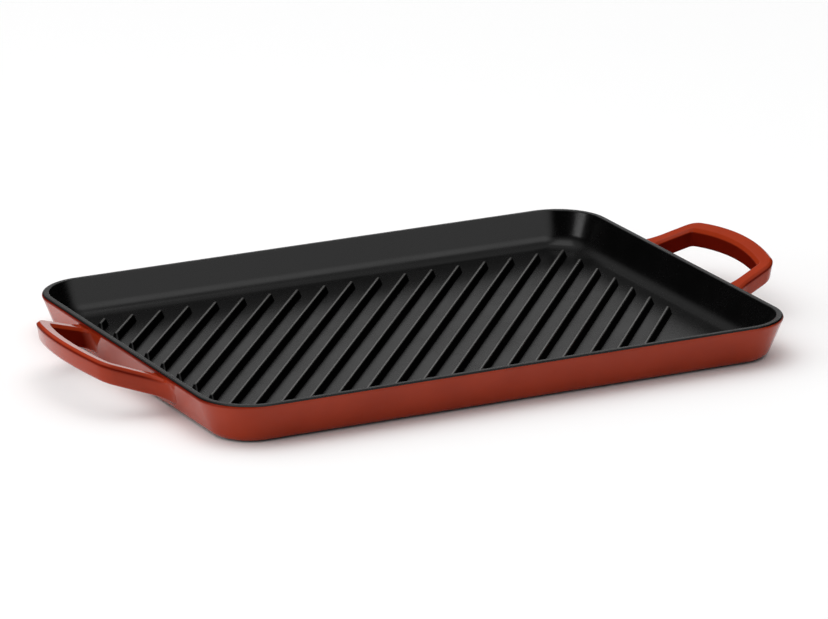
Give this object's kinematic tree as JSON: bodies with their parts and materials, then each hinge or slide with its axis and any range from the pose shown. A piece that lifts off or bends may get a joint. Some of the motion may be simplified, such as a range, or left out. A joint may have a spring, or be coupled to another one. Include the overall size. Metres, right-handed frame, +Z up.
{
  "type": "grill plate",
  "caption": "Shallow rectangular cast-iron grill plate with diagonal ridges across its floor, enamelled walls and a raised loop handle at each end.",
  "frame": {"origin": "middle of the flat underside, where the plate rests", "axes": "+X along the tray towards the right handle, +Y towards the long side away from the viewer, +Z up out of the tray"},
  "size_m": [0.4364, 0.262, 0.0335],
  "materials": {
    "black_enamel": "satin black ground enamel fired on cast iron",
    "cover_enamel": "gloss orange-red cover enamel",
    "handle_enamel": "gloss orange-red cover enamel fired on cast iron"
  },
  "bodies": {
    "root": {"tray_casting": "black_enamel", "outer_enamel": "cover_enamel", "right_handle": "handle_enamel", "left_handle": "handle_enamel", "ridge_01": "black_enamel", "ridge_02": "black_enamel", "ridge_03": "black_enamel", "ridge_04": "black_enamel", "ridge_05": "black_enamel", "ridge_06": "black_enamel", "ridge_07": "black_enamel", "ridge_08": "black_enamel", "ridge_09": "black_enamel", "ridge_10": "black_enamel", "ridge_11": "black_enamel", "ridge_12": "black_enamel", "ridge_13": "black_enamel", "ridge_14": "black_enamel", "ridge_15": "black_enamel", "ridge_16": "black_enamel", "ridge_17": "black_enamel", "ridge_18": "black_enamel", "ridge_19": "black_enamel", "ridge_20": "black_enamel", "ridge_21": "black_enamel", "ridge_22": "black_enamel", "ridge_23": "black_enamel", "ridge_24": "black_enamel"}
  },
  "joints": []
}
